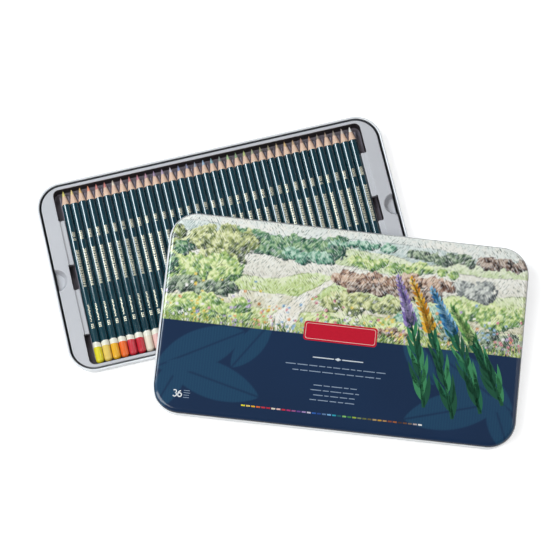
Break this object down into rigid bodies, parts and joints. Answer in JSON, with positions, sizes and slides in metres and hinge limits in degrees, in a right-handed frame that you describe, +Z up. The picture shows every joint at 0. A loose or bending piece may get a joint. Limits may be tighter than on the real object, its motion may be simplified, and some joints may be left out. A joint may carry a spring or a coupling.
{
  "type": "colored pencil tin",
  "caption": "Shallow metal tin with rounded corners, its lift-off lid laid askew over it, and a formed insert that holds one row of round colored pencils.",
  "frame": {"origin": "centre of the tin's underside, on the surface that it stands on", "axes": "+X along the tin's long side, +Y towards the pencils' points, +Z up"},
  "size_m": [0.4471, 0.3497, 0.0421],
  "materials": {
    "tin_metal": "white lacquered tinplate, satin",
    "lid_metal": "printed and varnished tinplate, glossy",
    "insert_plastic": "light grey formed polystyrene, satin",
    "bed_plastic": "charcoal formed polystyrene, satin",
    "pencil_lacquer": "dark teal gloss lacquer over cedar"
  },
  "bodies": {
    "tin": {"tin_base": "tin_metal"},
    "insert": {"insert_frame": "insert_plastic", "pencil_bed": "bed_plastic"},
    "lid": {"lid": "lid_metal"},
    "pencil_01": {"pencil_01": "pencil_lacquer"},
    "pencil_02": {"pencil_02": "pencil_lacquer"},
    "pencil_03": {"pencil_03": "pencil_lacquer"},
    "pencil_04": {"pencil_04": "pencil_lacquer"},
    "pencil_05": {"pencil_05": "pencil_lacquer"},
    "pencil_06": {"pencil_06": "pencil_lacquer"},
    "pencil_07": {"pencil_07": "pencil_lacquer"},
    "pencil_08": {"pencil_08": "pencil_lacquer"},
    "pencil_09": {"pencil_09": "pencil_lacquer"},
    "pencil_10": {"pencil_10": "pencil_lacquer"},
    "pencil_11": {"pencil_11": "pencil_lacquer"},
    "pencil_12": {"pencil_12": "pencil_lacquer"},
    "pencil_13": {"pencil_13": "pencil_lacquer"},
    "pencil_14": {"pencil_14": "pencil_lacquer"},
    "pencil_15": {"pencil_15": "pencil_lacquer"},
    "pencil_16": {"pencil_16": "pencil_lacquer"},
    "pencil_17": {"pencil_17": "pencil_lacquer"},
    "pencil_18": {"pencil_18": "pencil_lacquer"},
    "pencil_19": {"pencil_19": "pencil_lacquer"},
    "pencil_20": {"pencil_20": "pencil_lacquer"},
    "pencil_21": {"pencil_21": "pencil_lacquer"},
    "pencil_22": {"pencil_22": "pencil_lacquer"},
    "pencil_23": {"pencil_23": "pencil_lacquer"},
    "pencil_24": {"pencil_24": "pencil_lacquer"},
    "pencil_25": {"pencil_25": "pencil_lacquer"},
    "pencil_26": {"pencil_26": "pencil_lacquer"},
    "pencil_27": {"pencil_27": "pencil_lacquer"},
    "pencil_28": {"pencil_28": "pencil_lacquer"},
    "pencil_29": {"pencil_29": "pencil_lacquer"},
    "pencil_30": {"pencil_30": "pencil_lacquer"},
    "pencil_31": {"pencil_31": "pencil_lacquer"},
    "pencil_32": {"pencil_32": "pencil_lacquer"},
    "pencil_33": {"pencil_33": "pencil_lacquer"},
    "pencil_34": {"pencil_34": "pencil_lacquer"},
    "pencil_35": {"pencil_35": "pencil_lacquer"},
    "pencil_36": {"pencil_36": "pencil_lacquer"}
  },
  "joints": [
    {"name": "insert_lift", "type": "slide", "parent": "tin", "child": "insert", "axis": [0, 0, 1], "range_m": [0, 0.06]},
    {"name": "lid_lift", "type": "slide", "parent": "insert", "child": "lid", "axis": [0, 0, 1], "range_m": [0, 0.15]},
    {"name": "pencil_01_lift", "type": "slide", "parent": "insert", "child": "pencil_01", "axis": [0, 0, 1], "range_m": [0, 0.06]},
    {"name": "pencil_02_lift", "type": "slide", "parent": "insert", "child": "pencil_02", "axis": [0, 0, 1], "range_m": [0, 0.06]},
    {"name": "pencil_03_lift", "type": "slide", "parent": "insert", "child": "pencil_03", "axis": [0, 0, 1], "range_m": [0, 0.06]},
    {"name": "pencil_04_lift", "type": "slide", "parent": "insert", "child": "pencil_04", "axis": [0, 0, 1], "range_m": [0, 0.06]},
    {"name": "pencil_05_lift", "type": "slide", "parent": "insert", "child": "pencil_05", "axis": [0, 0, 1], "range_m": [0, 0.06]},
    {"name": "pencil_06_lift", "type": "slide", "parent": "insert", "child": "pencil_06", "axis": [0, 0, 1], "range_m": [0, 0.06]},
    {"name": "pencil_07_lift", "type": "slide", "parent": "insert", "child": "pencil_07", "axis": [0, 0, 1], "range_m": [0, 0.06]},
    {"name": "pencil_08_turn", "type": "hinge", "parent": "insert", "child": "pencil_08", "pos_m": [-0.0861, 0, 0.0115], "axis": [0, 1, 0], "continuous": true},
    {"name": "pencil_09_turn", "type": "hinge", "parent": "insert", "child": "pencil_09", "pos_m": [-0.0779, 0, 0.0115], "axis": [0, 1, 0], "continuous": true},
    {"name": "pencil_10_turn", "type": "hinge", "parent": "insert", "child": "pencil_10", "pos_m": [-0.0697, 0, 0.0115], "axis": [0, 1, 0], "continuous": true},
    {"name": "pencil_11_turn", "type": "hinge", "parent": "insert", "child": "pencil_11", "pos_m": [-0.0615, 0, 0.0115], "axis": [0, 1, 0], "continuous": true},
    {"name": "pencil_12_turn", "type": "hinge", "parent": "insert", "child": "pencil_12", "pos_m": [-0.0533, 0, 0.0115], "axis": [0, 1, 0], "continuous": true},
    {"name": "pencil_13_turn", "type": "hinge", "parent": "insert", "child": "pencil_13", "pos_m": [-0.0451, 0, 0.0115], "axis": [0, 1, 0], "continuous": true},
    {"name": "pencil_14_turn", "type": "hinge", "parent": "insert", "child": "pencil_14", "pos_m": [-0.0369, 0, 0.0115], "axis": [0, 1, 0], "continuous": true},
    {"name": "pencil_15_turn", "type": "hinge", "parent": "insert", "child": "pencil_15", "pos_m": [-0.0287, 0, 0.0115], "axis": [0, 1, 0], "continuous": true},
    {"name": "pencil_16_turn", "type": "hinge", "parent": "insert", "child": "pencil_16", "pos_m": [-0.0205, 0, 0.0115], "axis": [0, 1, 0], "continuous": true},
    {"name": "pencil_17_turn", "type": "hinge", "parent": "insert", "child": "pencil_17", "pos_m": [-0.0123, 0, 0.0115], "axis": [0, 1, 0], "continuous": true},
    {"name": "pencil_18_turn", "type": "hinge", "parent": "insert", "child": "pencil_18", "pos_m": [-0.0041, 0, 0.0115], "axis": [0, 1, 0], "continuous": true},
    {"name": "pencil_19_turn", "type": "hinge", "parent": "insert", "child": "pencil_19", "pos_m": [0.0041, 0, 0.0115], "axis": [0, 1, 0], "continuous": true},
    {"name": "pencil_20_turn", "type": "hinge", "parent": "insert", "child": "pencil_20", "pos_m": [0.0123, 0, 0.0115], "axis": [0, 1, 0], "continuous": true},
    {"name": "pencil_21_turn", "type": "hinge", "parent": "insert", "child": "pencil_21", "pos_m": [0.0205, 0, 0.0115], "axis": [0, 1, 0], "continuous": true},
    {"name": "pencil_22_turn", "type": "hinge", "parent": "insert", "child": "pencil_22", "pos_m": [0.0287, 0, 0.0115], "axis": [0, 1, 0], "continuous": true},
    {"name": "pencil_23_turn", "type": "hinge", "parent": "insert", "child": "pencil_23", "pos_m": [0.0369, 0, 0.0115], "axis": [0, 1, 0], "continuous": true},
    {"name": "pencil_24_turn", "type": "hinge", "parent": "insert", "child": "pencil_24", "pos_m": [0.0451, 0, 0.0115], "axis": [0, 1, 0], "continuous": true},
    {"name": "pencil_25_turn", "type": "hinge", "parent": "insert", "child": "pencil_25", "pos_m": [0.0533, 0, 0.0115], "axis": [0, 1, 0], "continuous": true},
    {"name": "pencil_26_turn", "type": "hinge", "parent": "insert", "child": "pencil_26", "pos_m": [0.0615, 0, 0.0115], "axis": [0, 1, 0], "continuous": true},
    {"name": "pencil_27_turn", "type": "hinge", "parent": "insert", "child": "pencil_27", "pos_m": [0.0697, 0, 0.0115], "axis": [0, 1, 0], "continuous": true},
    {"name": "pencil_28_turn", "type": "hinge", "parent": "insert", "child": "pencil_28", "pos_m": [0.0779, 0, 0.0115], "axis": [0, 1, 0], "continuous": true},
    {"name": "pencil_29_turn", "type": "hinge", "parent": "insert", "child": "pencil_29", "pos_m": [0.0861, 0, 0.0115], "axis": [0, 1, 0], "continuous": true},
    {"name": "pencil_30_turn", "type": "hinge", "parent": "insert", "child": "pencil_30", "pos_m": [0.0943, 0, 0.0115], "axis": [0, 1, 0], "continuous": true},
    {"name": "pencil_31_turn", "type": "hinge", "parent": "insert", "child": "pencil_31", "pos_m": [0.1025, 0, 0.0115], "axis": [0, 1, 0], "continuous": true},
    {"name": "pencil_32_turn", "type": "hinge", "parent": "insert", "child": "pencil_32", "pos_m": [0.1107, 0, 0.0115], "axis": [0, 1, 0], "continuous": true},
    {"name": "pencil_33_turn", "type": "hinge", "parent": "insert", "child": "pencil_33", "pos_m": [0.1189, 0, 0.0115], "axis": [0, 1, 0], "continuous": true},
    {"name": "pencil_34_turn", "type": "hinge", "parent": "insert", "child": "pencil_34", "pos_m": [0.1271, 0, 0.0115], "axis": [0, 1, 0], "continuous": true},
    {"name": "pencil_35_turn", "type": "hinge", "parent": "insert", "child": "pencil_35", "pos_m": [0.1353, 0, 0.0115], "axis": [0, 1, 0], "continuous": true},
    {"name": "pencil_36_turn", "type": "hinge", "parent": "insert", "child": "pencil_36", "pos_m": [0.1435, 0, 0.0115], "axis": [0, 1, 0], "continuous": true}
  ]
}
